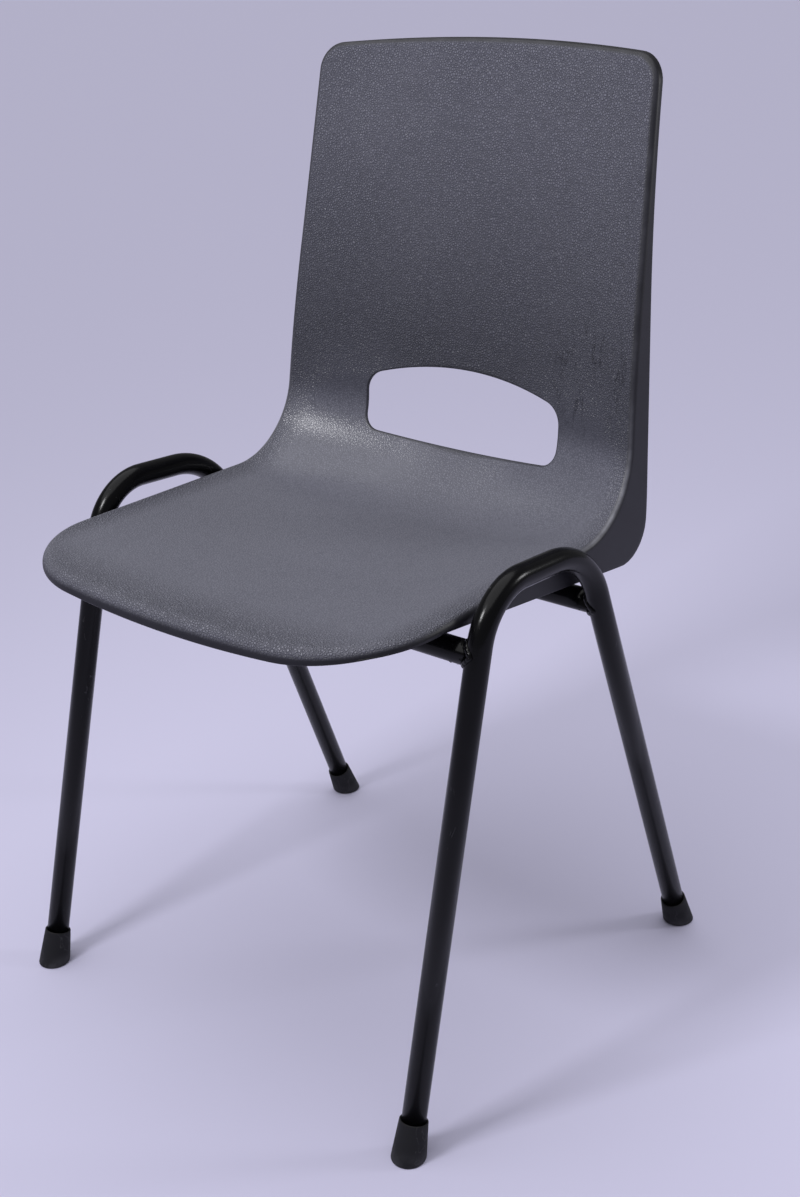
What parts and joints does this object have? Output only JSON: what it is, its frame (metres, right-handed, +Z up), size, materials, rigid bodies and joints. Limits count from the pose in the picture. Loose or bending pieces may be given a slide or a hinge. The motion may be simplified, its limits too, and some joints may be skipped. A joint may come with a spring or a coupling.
{
  "type": "choir chair",
  "caption": "Armless chair with a moulded seat-and-back shell, hand hole in the back, and a tube frame of two side hoops with rubber foot caps.",
  "frame": {"origin": "on the floor, at the middle of the chair's outline", "axes": "+Z up, the chair faces -Y, +X is the sitter's left"},
  "size_m": [0.5048, 0.5187, 0.897],
  "materials": {
    "shell_plastic": "fine-grained moulded polypropylene",
    "frame_powder_coat": "semi-gloss powder coat over steel tube",
    "screw_steel": "zinc-plated steel",
    "cap_rubber": "matte moulded rubber"
  },
  "bodies": {
    "root": {"seat_shell": "shell_plastic", "left_side_frame": "frame_powder_coat", "right_side_frame": "frame_powder_coat", "front_cross_tube": "frame_powder_coat", "rear_cross_tube": "frame_powder_coat", "weld_beads": "frame_powder_coat", "seat_screws": "screw_steel", "foot_cap_front_left": "cap_rubber", "foot_cap_rear_left": "cap_rubber", "foot_cap_front_right": "cap_rubber", "foot_cap_rear_right": "cap_rubber"}
  },
  "joints": []
}
